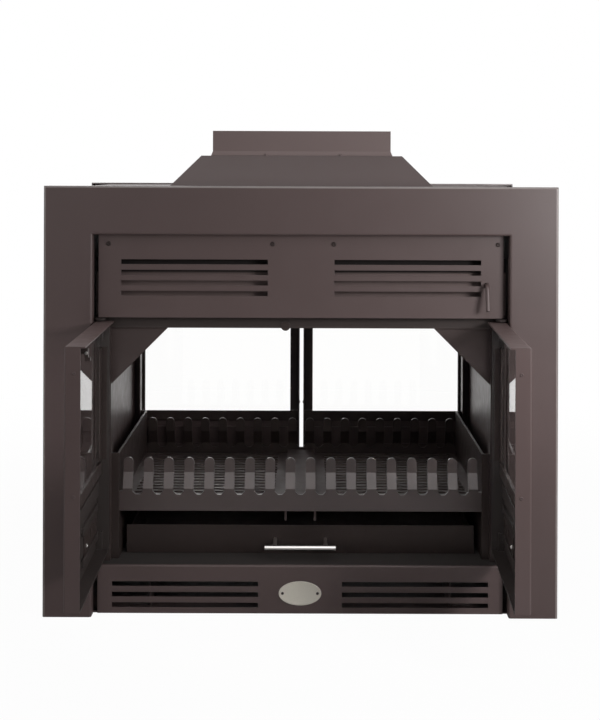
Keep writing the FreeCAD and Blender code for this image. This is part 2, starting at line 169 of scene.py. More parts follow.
# studio: white sweep, a small key lamp on the right, soft lamps on the left, above and behind
lamps = {
    "keyRight": {"place": (0.9, -1.2, 0.8), "aim": (0.0, -0.3, 0.5), "size": 0.3, "watts": 8.8},
    "fillLeft": {"place": (-1.0, -1.2, 0.8), "aim": (0.0, -0.3, 0.5), "size": 0.7, "watts": 1.5},
    "softAbove": {"place": (0.3, -1.5, 1.4), "aim": (0.0, -0.3, 0.5), "size": 1.0, "watts": 2.4},
    "softBehind": {"place": (-0.6, 2.2, 1.2), "aim": (0.0, 0.3, 0.5), "size": 1.2, "watts": 12.0},
}
# what gloss sees of the sweep: its strength on each side, and the span of the direction where it sets in
sweep = {
    "front": 0.35, "back": 0.6, "backFrom": (-0.25, 0.35),
    "top": 1.1, "topFrom": (0.0, 0.6),
    "side": 1.2, "sideFrom": (0.7, 0.95),
}
# the floor glows white to the eye, a little less near the object
paleFloor = {
    "size": 30, "tone": 0.84, "rough": 0.9, "shine": 0.1,
    "gloss": 0.1, "near": 0.975, "fade": (0.7, 2.4),
}


def addLamp(name, look):
    begin()
    bpy.ops.object.light_add(type="AREA", location=look["place"])
    lamp = bpy.context.object
    lamp.name = name
    lamp.data.size = look["size"]
    lamp.data.energy = look["watts"]
    aim = Vector(look["aim"]) - Vector(look["place"])
    lamp.rotation_euler = aim.to_track_quat("-Z", "Y").to_euler()


def addWorld():
    world = bpy.data.worlds.new("whiteSweep")
    bpy.context.scene.world = world
    world.use_nodes = True
    tree = world.node_tree
    back = tree.nodes["Background"]
    path = put(tree, "ShaderNodeLightPath", -900, 0)
    coord = put(tree, "ShaderNodeTexCoord", -900, -400)
    split = put(tree, "ShaderNodeSeparateXYZ", -700, -400)
    wire(tree, coord, "Generated", split, "Vector")
    deep, high = split.outputs["Y"], split.outputs["Z"]
    wide = mathNode(tree, "ABSOLUTE", -700, -600, split.outputs["X"])
    levels = (sweep["front"], sweep["back"])
    around = ramp(tree, -500, -300, deep, sweep["backFrom"], levels, "SMOOTHSTEP")
    above = ramp(tree, -500, -600, high, sweep["topFrom"], (0.0, sweep["top"]), "SMOOTHSTEP")
    beside = ramp(tree, -500, -750, wide, sweep["sideFrom"], (0.0, sweep["side"]), "SMOOTHSTEP")
    gloss = mathNode(tree, "ADD", -300, -400, around, above)
    gloss = mathNode(tree, "ADD", -300, -600, gloss, beside)
    dim = choose(tree, -250, -200, path.outputs["Is Glossy Ray"], 0.0, gloss)
    strength = choose(tree, -50, 0, seenByEye(tree, path, -500, 100), dim, 1.0)
    tree.links.new(strength, back.inputs["Strength"])
    back.inputs["Color"].default_value = (1, 1, 1, 1)


def addFloor():
    begin()
    bpy.ops.mesh.primitive_plane_add(size=paleFloor["size"])
    floor = bpy.context.object
    floor.name = "paleFloor"
    mat, tree, skin = newMaterial("paleFloor")
    skin.inputs["Base Color"].default_value = (paleFloor["tone"],) * 3 + (1,)
    skin.inputs["Roughness"].default_value = paleFloor["rough"]
    skin.inputs["Specular IOR Level"].default_value = paleFloor["shine"]
    glow = put(tree, "ShaderNodeEmission", 0, -300, Strength=1.0, Color=(1, 1, 1, 1))
    path = put(tree, "ShaderNodeLightPath", -900, 300)
    gloss = mathNode(tree, "MULTIPLY", -700, 500, path.outputs["Is Glossy Ray"], paleFloor["gloss"])
    seen = mathNode(tree, "MAXIMUM", -500, 300, seenByEye(tree, path, -700, 300), gloss)
    far = vectorNode(tree, "LENGTH", -700, 0, objectCoord(tree, -900, 0))
    fade = ramp(tree, -500, 0, far, paleFloor["fade"], (paleFloor["near"], 1.0), "SMOOTHSTEP")
    share = mathNode(tree, "MULTIPLY", -200, 200, seen, fade)
    mix = put(tree, "ShaderNodeMixShader", 200, 100)
    for i, source in enumerate((share, skin.outputs["BSDF"], glow.outputs["Emission"])):
        tree.links.new(source, mix.inputs[i])
    tree.links.new(mix.outputs["Shader"], tree.nodes["Material Output"].inputs["Surface"])
    floor.data.materials.append(mat)


for name, look in lamps.items():
    addLamp(name, look)
addWorld()
addFloor()
print("studio set")


# shared effects
# sprayed paint: soft clouds of colour, patches of gloss, orange peel and fine specks
paintGrain = {
    "cloud": {"Scale": 4.0, "Detail": 4.0, "Roughness": 0.55},
    "cloudRange": (0.35, 0.65),
    "patch": {"Scale": 38.0, "Detail": 3.0, "Roughness": 0.6},
    "patchRange": (0.3, 0.7),
    "peel": {"Detail": 2.0, "Roughness": 0.5},
    "peelShare": 0.8,
    "speck": {"Scale": 2400.0, "Detail": 1.0},
    "speckRange": (0.3, 0.7),
    "speckTone": (0.93, 1.07),
    "speckShare": 0.2,
    "bumpDepth": 0.0006,
}


def makePaintSkin():
    tree, start, end = newGroup(
        "paintSkin",
        [
            ("Tone", "NodeSocketColor", (0.1, 0.09, 0.09, 1)),
            ("Cloud Tone", "NodeSocketColor", (0.12, 0.1, 0.1, 1)),
            ("Peel Size", "NodeSocketFloat", 700.0),
            ("Rough Low", "NodeSocketFloat", 0.4),
            ("Rough High", "NodeSocketFloat", 0.5),
        ],
        [("Color", "NodeSocketColor"), ("Roughness", "NodeSocketFloat"), ("Height", "NodeSocketFloat")],
    )
    coord = objectCoord(tree, -900, -300)
    cloud = noise(tree, -600, 200, coord, **paintGrain["cloud"]).outputs["Fac"]
    patch = noise(tree, -600, -50, coord, **paintGrain["patch"]).outputs["Fac"]
    peel = noise(tree, -600, -300, coord, **paintGrain["peel"])
    wire(tree, start, "Peel Size", peel, "Scale")
    speck = noise(tree, -600, -550, coord, **paintGrain["speck"]).outputs["Fac"]
    soft = ramp(tree, -350, 200, cloud, paintGrain["cloudRange"])
    tone = mixColor(tree, -100, 200, soft, start.outputs["Tone"], start.outputs["Cloud Tone"])
    grit = ramp(tree, -350, -550, speck, paintGrain["speckRange"], paintGrain["speckTone"])
    color = mixColor(tree, 150, 200, 1.0, tone, grit, "MULTIPLY")
    limits = (start.outputs["Rough Low"], start.outputs["Rough High"])
    rough = ramp(tree, 150, -50, patch, paintGrain["patchRange"], limits)
    small = mathNode(tree, "MULTIPLY", -100, -450, speck, paintGrain["speckShare"])
    height = mathNode(tree, "MULTIPLY_ADD", 150, -300, peel.outputs["Fac"], paintGrain["peelShare"], small)
    for label, source in (("Color", color), ("Roughness", rough), ("Height", height)):
        tree.links.new(source, end.inputs[label])
    return tree


# rubbed edges: where the rounded normal leaves the flat one, in patches
edgeWear = {
    "samples": 4, "bend": (0.99, 0.8),
    "patch": {"Detail": 4.0, "Roughness": 0.65}, "patchRange": (0.4, 0.6),
}


def makeEdgeRub():
    tree, start, end = newGroup(
        "edgeRub",
        [("Width", "NodeSocketFloat", 0.0012), ("Patch Size", "NodeSocketFloat", 30.0)],
        [("Mask", "NodeSocketFloat"), ("Normal", "NodeSocketVector")],
    )
    bevel = put(tree, "ShaderNodeBevel", -600, 0, samples=edgeWear["samples"])
    wire(tree, start, "Width", bevel, "Radius")
    shape = put(tree, "ShaderNodeNewGeometry", -600, -250)
    bend = vectorNode(tree, "DOT_PRODUCT", -350, -100, bevel.outputs["Normal"], shape.outputs["Normal"])
    edge = ramp(tree, -100, -100, bend, edgeWear["bend"])
    patch = noise(tree, -350, -500, objectCoord(tree, -600, -500), **edgeWear["patch"])
    wire(tree, start, "Patch Size", patch, "Scale")
    worn = ramp(tree, -100, -500, patch.outputs["Fac"], edgeWear["patchRange"])
    mask = mathNode(tree, "MULTIPLY", 200, -200, edge, worn)
    tree.links.new(mask, end.inputs["Mask"])
    wire(tree, bevel, "Normal", end, "Normal")
    return tree


# a band across the object, the same on both sides of each middle plane
def makeBandMask():
    tree, start, end = newGroup(
        "bandMask",
        [
            ("Across", "NodeSocketVector", (0.0, 0.0, 1.0)),
            ("Starts At", "NodeSocketFloat", 0.0),
            ("Full At", "NodeSocketFloat", 1.0),
        ],
        [("Mask", "NodeSocketFloat")],
    )
    fold = vectorNode(tree, "ABSOLUTE", -650, -200, objectCoord(tree, -900, -300))
    along = vectorNode(tree, "DOT_PRODUCT", -400, -100, fold, start.outputs["Across"])
    limits = (start.outputs["Starts At"], start.outputs["Full At"])
    grow = ramp(tree, -100, 0, along, limits, curve="SMOOTHSTEP")
    tree.links.new(grow, end.inputs["Mask"])
    return tree


# fine lines along one direction, as left by a brush
brushGrain = {
    "lines": {"Scale": 1.0, "Detail": 3.0, "Roughness": 0.6},
    "rough": (0.22, 0.4),
    "bump": {"Strength": 0.06, "Distance": 0.0003},
}


def makeBrushLines():
    tree, start, end = newGroup(
        "brushLines",
        [
            ("Tone", "NodeSocketColor", (0.6, 0.6, 0.6, 1)),
            ("Line Tone", "NodeSocketColor", (0.5, 0.5, 0.5, 1)),
            ("Along", "NodeSocketVector", (8.0, 900.0, 900.0)),
        ],
        [("Color", "NodeSocketColor"), ("Roughness", "NodeSocketFloat"), ("Height", "NodeSocketFloat")],
    )
    coord = objectCoord(tree, -900, -300)
    stretch = vectorNode(tree, "MULTIPLY", -650, -100, coord, start.outputs["Along"])
    lines = noise(tree, -400, -100, stretch, **brushGrain["lines"]).outputs["Fac"]
    color = mixColor(tree, 0, 100, lines, start.outputs["Tone"], start.outputs["Line Tone"])
    rough = ramp(tree, 0, -150, lines, (0.0, 1.0), brushGrain["rough"])
    for label, source in (("Color", color), ("Roughness", rough), ("Height", lines)):
        tree.links.new(source, end.inputs[label])
    return tree


paintSkin = makePaintSkin()
edgeRub = makeEdgeRub()
bandMask = makeBandMask()
brushLines = makeBrushLines()


# doors: hand, hinge axis and the turn of each door's own frame at rest
doors = {
    "front_left": {"hand": 1, "hinge": (-0.3735, -0.277), "turn": -89.0},
    "front_right": {"hand": -1, "hinge": (0.3735, -0.277), "turn": 88.0},
    "rear_right": {"hand": 1, "hinge": (0.3735, 0.277), "turn": 180.0},
    "rear_left": {"hand": -1, "hinge": (-0.3735, 0.277), "turn": 180.0},
}


# finishes of the painted steel and the iron
charcoalPaint = {
    "tone": (0.098, 0.0665, 0.0640, 1),
    "cloudTone": (0.102, 0.0690, 0.0668, 1),
    "wornTone": (0.105, 0.075, 0.072, 1),
    "peel": 620.0,
    "rough": (0.40, 0.48),
    "shine": 0.5,
    "edge": 0.0011,
    "bump": 0.05,
}
fireboxPaint = {
    "tone": (0.082, 0.0590, 0.0570, 1),
    "cloudTone": (0.088, 0.0632, 0.0612, 1),
    "wornTone": (0.120, 0.098, 0.094, 1),
    "peel": 480.0,
    "rough": (0.34, 0.46),
    "shine": 0.45,
    "tint": (1.0, 0.87, 0.85, 1),
    "edge": 0.0009,
    "bump": 0.08,
}
grateIron = {
    "tone": (0.070, 0.0500, 0.0480, 1),
    "cloudTone": (0.076, 0.0545, 0.0520, 1),
    "wornTone": (0.085, 0.064, 0.061, 1),
    "peel": 420.0,
    "rough": (0.32, 0.42),
    "shine": 0.7,
    "edge": 0.0010,
    "bump": 0.10,
}

# the collar is paler, the gussets are darker, the drawer and the hinge lugs are nearly black with painted
# shade
collarPaint = dict(charcoalPaint, tone=(0.205, 0.150, 0.144, 1), cloudTone=(0.212, 0.156, 0.150, 1))
gussetPaint = dict(
    fireboxPaint,
    tone=(0.064, 0.0470, 0.0450, 1),
    cloudTone=(0.069, 0.0507, 0.0487, 1),
    shine=0.38,
)
# near-black paint; on the drawer and the parts set back inside the doors and the firebox its darkness is
# painted shade
darkPaintAndShade = dict(
    fireboxPaint,
    tone=(0.040, 0.0295, 0.0275, 1),
    cloudTone=(0.044, 0.0325, 0.0300, 1),
    wornTone=(0.055, 0.043, 0.041, 1),
    shine=0.3,
)
# painted shade on the hinge lugs: nearly black all over
hingeShadePaint = dict(
    fireboxPaint,
    tone=(0.020, 0.0160, 0.0150, 1),
    cloudTone=(0.024, 0.019, 0.018, 1),
    wornTone=(0.035, 0.029, 0.028, 1),
    rough=(0.5, 0.6),
    shine=0.25,
)
# flat primer on the casing's top
topPrimer = dict(charcoalPaint, tone=(0.090, 0.0640, 0.0620, 1), rough=(0.64, 0.74), shine=0.25)
floorIron = dict(
    grateIron,
    tone=(0.078, 0.0560, 0.0540, 1),
    cloudTone=(0.084, 0.0605, 0.0580, 1),
    rough=(0.55, 0.68),
    shine=0.2,
)
creamPlate = {
    "tone": (0.88, 0.83, 0.72, 1),
    "cloudTone": (0.91, 0.86, 0.76, 1),
    "wornTone": (0.93, 0.90, 0.84, 1),
    "peel": 900.0,
    "rough": (0.28, 0.36),
    "shine": 0.5,
    "edge": 0.0006,
    "bump": 0.04,
}


# one limit of a band: the direction, and where along it the band starts and is full
def limit(across, startsAt, fullAt):
    return {"Across": across, "Starts_At": startsAt, "Full_At": fullAt}


# painted highlight along the outer folds of the facias, at the sides and the top
foldHighlight = {"tone": (0.32, 0.275, 0.265, 1), "rough": 0.36}
atFront = limit((0, 1, 0), 0.2955, 0.2985)
sideFoldHighlight = dict(foldHighlight, mask=limit((1, 0, 0), 0.4702, 0.4716), also=[atFront])
topFoldHighlight = dict(foldHighlight, mask=limit((0, 0, 1), 0.7912, 0.7926), also=[atFront])
# painted highlight on the cut edge of the top fold, on its inner side
atCut = limit((0, -1, 0), -0.2770, -0.2756)
cutEdgeHighlight = dict(topFoldHighlight, tone=(0.70, 0.62, 0.61, 1), also=[atCut])
faciaPaint = dict(charcoalPaint, bands=[sideFoldHighlight, topFoldHighlight, cutEdgeHighlight])
# painted shade on the hearth ledge behind the grille
ledgePaintedShade = {"mask": limit((0, -1, 0), -0.2735, -0.2685), "tone": (0.024, 0.0185, 0.0170, 1), "rough": 0.9}
hearthPaint = dict(charcoalPaint, bands=[ledgePaintedShade])
# door frames: a darker band on the head, painted light on the frame behind the vent panel, and painted
# shade, nearly black, above it
headDarkBand = {"mask": limit((0, 0, 1), 0.527, 0.533), "tone": (0.027, 0.0205, 0.0190, 1), "rough": 0.55}
ventBackPaintedLight = {"mask": limit((0, 0, 1), 0.551, 0.556), "tone": (0.150, 0.110, 0.105, 1), "rough": 0.5}
aboveVentPaintedShade = {"mask": limit((0, 0, 1), 0.629, 0.636), "tone": (0.008, 0.007, 0.007, 1), "rough": 0.85}
framePaint = dict(
    fireboxPaint,
    tone=(0.046, 0.0335, 0.0315, 1),
    cloudTone=(0.050, 0.0365, 0.0345, 1),
    bands=[headDarkBand, ventBackPaintedLight, aboveVentPaintedShade],
)

# inside of an open front door: dark behind its outer skin, its free edge and its top
doorInside = {
    "skin": 0.0075, "reach": 0.3682, "top": 0.5410, "soft": 0.0006,
    "tone": (0.036, 0.0275, 0.0255, 1), "rough": 0.5,
}


def insidePaint(door):
    x, y = (abs(v) for v in door["hinge"])
    short = math.radians(90 - abs(door["turn"]))
    out = (math.cos(short), math.sin(short), 0)
    along = (-math.sin(short), math.cos(short), 0)
    limits = []
    for way, name in ((out, "skin"), (along, "reach"), ((0, 0, 1), "top")):
        edge = way[0] * x + way[1] * y + doorInside[name]
        inward = tuple(-v for v in way)
        limits.append(limit(inward, -edge, doorInside["soft"] - edge))
    dark = {"mask": limits[0], "also": limits[1:], "tone": doorInside["tone"], "rough": doorInside["rough"]}
    return dict(charcoalPaint, bands=[dark])


def addBump(tree, skin, height, normal=None, **values):
    bump = put(tree, "ShaderNodeBump", -300, -250, **values)
    tree.links.new(height, bump.inputs["Height"])
    if normal:
        tree.links.new(normal, bump.inputs["Normal"])
    wire(tree, bump, "Normal", skin, "Normal")


def paintedSteel(name, look):
    mat, tree, skin = newMaterial(name)
    paint = useGroup(
        tree, paintSkin, -800, 100, Tone=look["tone"], Cloud_Tone=look["cloudTone"], Peel_Size=look["peel"],
        Rough_Low=look["rough"][0], Rough_High=look["rough"][1],
    )
    rub = useGroup(tree, edgeRub, -800, -300, Width=look["edge"])
    tone = mixColor(tree, -450, 200, rub.outputs["Mask"], paint.outputs["Color"], look["wornTone"])
    rough = paint.outputs["Roughness"]
    for i, band in enumerate(look.get("bands", ())):
        low = -550 - 200 * i
        mask = useGroup(tree, bandMask, -800, low, **band["mask"]).outputs["Mask"]
        for k, edge in enumerate(band.get("also", ())):
            other = useGroup(tree, bandMask, -1000 - 200 * k, low, **edge).outputs["Mask"]
            mask = mathNode(tree, "MULTIPLY", -600 + 100 * k, low, mask, other)
        tone = mixColor(tree, -200, 200 + 200 * i, mask, tone, band["tone"])
        rough = choose(tree, -200, -200 * i, mask, rough, band["rough"])
    tree.links.new(tone, skin.inputs["Base Color"])
    tree.links.new(rough, skin.inputs["Roughness"])
    addBump(
        tree, skin, paint.outputs["Height"], rub.outputs["Normal"],
        Strength=look["bump"], Distance=paintGrain["bumpDepth"],
    )
    skin.inputs["Specular IOR Level"].default_value = look["shine"]
    skin.inputs["Specular Tint"].default_value = look.get("tint", (1, 1, 1, 1))
    return mat


brushedBar = {
    "tone": (0.85, 0.82, 0.80, 1),
    "lineTone": (0.68, 0.65, 0.63, 1),
    "along": (12.0, 1400.0, 1400.0),
}
zincedSteel = {
    "tone": (0.40, 0.38, 0.37, 1),
    "lineTone": (0.28, 0.27, 0.26, 1),
    "along": (500.0, 500.0, 500.0),
}


def brightSteel(name, look):
    mat, tree, skin = newMaterial(name)
    brush = useGroup(
        tree, brushLines, -700, 100, Tone=look["tone"], Line_Tone=look["lineTone"], Along=look["along"],
    )
    wire(tree, brush, "Color", skin, "Base Color")
    wire(tree, brush, "Roughness", skin, "Roughness")
    addBump(tree, skin, brush.outputs["Height"], **brushGrain["bump"])
    skin.inputs["Metallic"].default_value = 1.0
    return mat


doorGlass = {
    "tone": (1.0, 1.0, 0.995, 1), "index": 1.25,
    "haze": {"Scale": 9.0, "Detail": 5.0, "Roughness": 0.65},
    "hazeRange": (0.35, 0.75), "rough": (0.004, 0.03),
}


def clearGlass(name, look):
    mat, tree, skin = newMaterial(name)
    haze = noise(tree, -650, 0, objectCoord(tree, -900, 0), **look["haze"]).outputs["Fac"]
    rough = ramp(tree, -400, -100, haze, look["hazeRange"], look["rough"])
    tree.links.new(rough, skin.inputs["Roughness"])
    skin.inputs["Base Color"].default_value = look["tone"]
    skin.inputs["Transmission Weight"].default_value = 1.0
    skin.inputs["IOR"].default_value = look["index"]
    return mat


ropeYarn = {
    "tone": (0.050, 0.047, 0.045, 1), "fuzzTone": (0.15, 0.142, 0.135, 1), "rough": 0.92, "shine": 0.15,
    "fuzz": {"Scale": 900.0, "Detail": 4.0, "Roughness": 0.7},
    "bump": {"Strength": 0.5, "Distance": 0.0005},
}


def wovenRope(name, look):
    mat, tree, skin = newMaterial(name)
    fuzz = noise(tree, -650, -150, objectCoord(tree, -900, 0), **look["fuzz"]).outputs["Fac"]
    tone = mixColor(tree, -350, 100, fuzz, look["tone"], look["fuzzTone"])
    tree.links.new(tone, skin.inputs["Base Color"])
    addBump(tree, skin, fuzz, **look["bump"])
    skin.inputs["Roughness"].default_value = look["rough"]
    skin.inputs["Specular IOR Level"].default_value = look["shine"]
    return mat


finishes = {
    "charcoal_steel": paintedSteel("charcoalPaint", charcoalPaint),
    "firebox_steel": paintedSteel("fireboxPaint", fireboxPaint),
    "grate_iron": paintedSteel("grateIron", grateIron),
    "collar": paintedSteel("collarPaint", collarPaint),
    "gussets": paintedSteel("gussetPaint", gussetPaint),
    "top": paintedSteel("topPrimer", topPrimer),
    "facia": paintedSteel("faciaPaint", faciaPaint),
    "floor": paintedSteel("floorIron", floorIron),
    "plate": paintedSteel("creamPlate", creamPlate),
    "drawer": paintedSteel("darkPaintAndShade", darkPaintAndShade),
    "lugs": paintedSteel("hingeShadePaint", hingeShadePaint),
    "hearth": paintedSteel("hearthPaint", hearthPaint),
    "frame": paintedSteel("framePaint", framePaint),
    "front_left_tray": paintedSteel("leftDoorPaint", insidePaint(doors["front_left"])),
    "front_right_tray": paintedSteel("rightDoorPaint", insidePaint(doors["front_right"])),
    "bright_steel": brightSteel("brushedBar", brushedBar),
    "plain_steel": brightSteel("zincedSteel", zincedSteel),
    "door_glass": clearGlass("clearGlass", doorGlass),
    "seal_rope": wovenRope("wovenRope", ropeYarn),
}


# which finish each CAD node has, by its name or by the end of it; all others have the charcoal paint
ownFinish = {
    "firebox_left": "firebox_steel",
    "firebox_right": "firebox_steel",
    "smoke_gather": "firebox_steel",
    "throat_plate": "firebox_steel",
    "damper_plate": "firebox_steel",
    "hearth_stands": "firebox_steel",
    "rear_ash_plate": "firebox_steel",
    "flue_collar": "collar",
    "casing_top": "top",
    "corner_gussets": "gussets",
    "front_facia": "facia",
    "rear_facia": "facia",
    "floor_grates": "floor",
    "centre_bearer": "floor",
    "front_comb": "grate_iron",
    "rear_comb": "drawer",
    "grate_cheeks": "drawer",
    "door_strikes": "drawer",
    "drawer_front": "drawer",
    "drawer_tray": "drawer",
    "drawer_runners": "drawer",
    "drawer_handle": "bright_steel",
    "door_hinges": "lugs",
    "front_grille": "hearth",
    "rear_grille": "hearth",
    "front_door_frame": "frame",
    "rear_door_frame": "frame",
    "front_left_tray": "front_left_tray",
    "front_right_tray": "front_right_tray",
}
endFinish = {
    "_retainers": "drawer",
    "_liner": "drawer",
    "_air_slide": "drawer",
    "_keeper": "drawer",
    "_glass": "door_glass",
    "_rope": "seal_rope",
}


def finishOf(name):
    if name in ownFinish:
        return ownFinish[name]
    for end, finish in endFinish.items():
        if name.endswith(end):
            return finish
    return "charcoal_steel"


for name, node in nodes.items():
    node.data.materials.clear()
    node.data.materials.append(finishes[finishOf(name)])
print("finishes on the CAD nodes")


# modelling helpers
tiny = 1e-6
facesUp = 0.99
smoothDeg = 35


def pick(obj, mode, test):
    bpy.ops.object.mode_set(mode="EDIT")
    bpy.ops.mesh.select_mode(type=mode)
    bpy.ops.mesh.select_all(action="DESELECT")
    mesh = bmesh.from_edit_mesh(obj.data)
    found = {"VERT": mesh.verts, "EDGE": mesh.edges, "FACE": mesh.faces}[mode]
    for item in found:
        if test(item):
            item.select_set(True)
    bmesh.update_edit_mesh(obj.data)


def pickTopEdges(obj, z):
    pick(obj, "EDGE", lambda e: all(v.co.z > z - tiny for v in e.verts))


def endEdit():
    bpy.ops.object.mode_set(mode="OBJECT")


def extrudeBy(z):
    bpy.ops.mesh.extrude_region_move(TRANSFORM_OT_translate={"value": (0, 0, z)})


def only(obj):
    begin()
    obj.select_set(True)
    bpy.context.view_layer.objects.active = obj


def settle(obj):
    only(obj)
    bpy.ops.object.transform_apply(location=True, rotation=True, scale=True)


def copyTo(model, name, place, turn=(0, 0, 0)):
    only(model)
    bpy.ops.object.duplicate()
    copy = bpy.context.object
    copy.name = name
    copy.location = place
    copy.rotation_euler = turn
    settle(copy)
    return copy


def joinAll(pieces):
    only(pieces[0])
    for piece in pieces:
        piece.select_set(True)
    bpy.ops.object.join()
    return bpy.context.object


# an open ring, the start of a rope or a weld
def addRing(name, sides, radius):
    begin()
    bpy.ops.mesh.primitive_circle_add(vertices=sides, radius=radius, fill_type="NOTHING")
    ring = bpy.context.object
    ring.name = name
    return ring


# one length repeated along z and closed at both ends, left in edit mode
def repeatRun(run, count, step, merge):
    only(run)
    bpy.ops.object.modifier_add(type="ARRAY")
    row = run.modifiers[-1]
    row.count = count
    row.use_relative_offset = False
    row.use_constant_offset = True
    row.constant_offset_displace = (0, 0, step)
    row.use_merge_vertices = True
    row.merge_threshold = merge
    bpy.ops.object.modifier_apply(modifier=row.name)
    pick(run, "EDGE", lambda e: e.is_boundary)
    bpy.ops.mesh.fill_holes(sides=0)
    bpy.ops.mesh.select_all(action="SELECT")
    bpy.ops.mesh.normals_make_consistent(inside=False)


def finishPiece(obj, body, slot, finish=None):
    obj.data.materials.clear()
    obj.data.materials.append(finish or finishes[slot])
    only(obj)
    bpy.ops.object.shade_smooth_by_angle(angle=math.radians(smoothDeg))
    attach(obj, body)


def discard(obj):
    only(obj)
    bpy.ops.object.delete()


def hang(obj, door):
    x, y = door["hinge"]
    obj.location = (x, y, 0)
    obj.rotation_euler = (0, 0, math.radians(door["turn"]))
    settle(obj)


# seal rope round each glass, twisted from three strands and pressed flat, in the door's own frame
sealRope = {
    "x": (0.011, 0.35725), "z": (0.263, 0.525), "y": (-0.006, -0.003), "width": 0.0052,
    "strands": 3, "sides": 9, "rings": 6, "pitch": 0.010, "groove": 0.78, "merge": 0.0001,
}


def modelRopeRun(name, length):
    rings, sides, strands = sealRope["rings"], sealRope["sides"], sealRope["strands"]
    groove = sealRope["groove"]
    turns = round(length * 2 / sealRope["pitch"])
    step = length / turns / rings
    twist = 2 * math.pi / strands / rings
    run = addRing(name, sides, sealRope["width"] / 2)
    pick(run, "VERT", lambda v: v.index % (sides // strands) == 0)
    bpy.ops.transform.resize(value=(groove, groove, 1), center_override=(0, 0, 0))
    bpy.ops.mesh.select_all(action="SELECT")
    for ring in range(rings):
        extrudeBy(step)
        bpy.ops.transform.rotate(value=twist, orient_axis="Z", center_override=(0, 0, 0))
    endEdit()
    repeatRun(run, turns, step * rings, sealRope["merge"])
    endEdit()
    y0, y1 = sealRope["y"]
    run.scale = (1, (y1 - y0) / sealRope["width"], 1)
    settle(run)
    return run


def addRopes():
    x0, x1 = sealRope["x"]
    z0, z1 = sealRope["z"]
    y = sum(sealRope["y"]) / 2
    w = sealRope["width"]
    upright = modelRopeRun("ropeUpright", z1 - z0 - 2 * w)
    level = modelRopeRun("ropeLevel", x1 - x0)
    for doorName, door in doors.items():
        hand = door["hand"]
        runs = [copyTo(upright, "run", (hand * x, y, z0 + w)) for x in (x0 + w / 2, x1 - w / 2)]
        for z in (z0 + w / 2, z1 - w / 2):
            runs.append(copyTo(level, "run", (hand * x0, y, z), (0, hand * quarter, 0)))
        rope = joinAll(runs)
        rope.name = doorName + "_sealRope"
        hang(rope, door)
        finishPiece(rope, doorName + "_door", "seal_rope")
        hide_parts(doorName + "_rope")
    discard(upright)
    discard(level)


addRopes()
print("seal ropes")


# round-headed screws with a tapered socket
screwForm = {"sides": 24, "segments": 4, "taper": 0.8, "leastRim": 0.0002}
screwHead = {"radius": 0.0043, "height": 0.0026, "dome": 0.0016, "socket": 0.0021, "deep": 0.0011}


def modelScrew(name, look):
    begin()
    r, h = look["radius"], look["height"]
    sides, taper = screwForm["sides"], screwForm["taper"]
    rim = max(r - look["dome"] - look["socket"], screwForm["leastRim"])
    bpy.ops.mesh.primitive_cylinder_add(vertices=sides, radius=r, depth=h, location=(0, 0, h / 2))
    screw = bpy.context.object
    screw.name = name
    settle(screw)
    pickTopEdges(screw, h)
    bpy.ops.mesh.bevel(offset=look["dome"], segments=screwForm["segments"], affect="EDGES")
    pick(screw, "FACE", lambda f: f.normal.z > facesUp and f.calc_center_median().z > h - tiny)
    bpy.ops.mesh.inset(thickness=rim, depth=0)
    extrudeBy(-look["deep"])
    bpy.ops.transform.resize(value=(taper, taper, 1))
    endEdit()
    return screw


ventScrews = {"x": (-0.358, -0.053, 0.061, 0.3665), "z": 0.6875, "y": 0.275}


def addVentScrews():
    model = modelScrew("ventScrew", screwHead)
    count = 0
    for face in (-1, 1):
        for x in ventScrews["x"]:
            count += 1
            place = (-face * x, face * ventScrews["y"], ventScrews["z"])
            screw = copyTo(model, f"ventScrew{count}", place, (-face * quarter, 0, 0))
            finishPiece(screw, "casing", "charcoal_steel", finishes["drawer"])
    discard(model)


addVentScrews()
print("vent screws")


# screws that hold the glass retainers, in the free edge of each door
flangeScrew = {"radius": 0.0029, "height": 0.0013, "dome": 0.0007, "socket": 0.0013, "deep": 0.0008}
flangeSeat = {"x": 0.36925, "y": 0.007, "z": (0.303, 0.500)}
# bright cap screw in the side of each keeper
keeperScrew = {"radius": 0.0029, "height": 0.0022, "dome": 0.0012, "socket": 0.0013, "deep": 0.0009}
keeperSeat = {"x": 0.3495, "y": 0.0236, "z": 0.530}
keeperDoors = ("front_left", "rear_right")


def addDoorScrews():
    plain = modelScrew("flangeScrew", flangeScrew)
    bright = modelScrew("keeperScrew", keeperScrew)
    for doorName, door in doors.items():
        hand = door["hand"]
        turn = (0, hand * quarter, 0)
        for i, z in enumerate(flangeSeat["z"]):
            place = (hand * flangeSeat["x"], flangeSeat["y"], z)
            screw = copyTo(plain, f"{doorName}_flangeScrew{i + 1}", place, turn)
            hang(screw, door)
            finishPiece(screw, doorName + "_door", "charcoal_steel")
        if doorName in keeperDoors:
            place = (hand * keeperSeat["x"], keeperSeat["y"], keeperSeat["z"])
            screw = copyTo(bright, doorName + "_keeperScrew", place, turn)
            hang(screw, door)
            finishPiece(screw, doorName + "_door", "plain_steel")
    discard(plain)
    discard(bright)


addDoorScrews()
print("door screws")


# domed nut on the inner end of each air slide's knob: a round cap on a six-sided base,
# both in shares of half its width
knobNut = {
    "x": 0.145, "y": -0.0038, "z": 0.165, "across": 0.0060, "flat": 0.0018, "dome": 0.0026,
    "cap": {"share": 0.94, "sides": 24, "round": 0.7, "segments": 5},
    "base": {"share": 1.15, "sides": 6, "chamfer": 0.0003, "segments": 2},
}


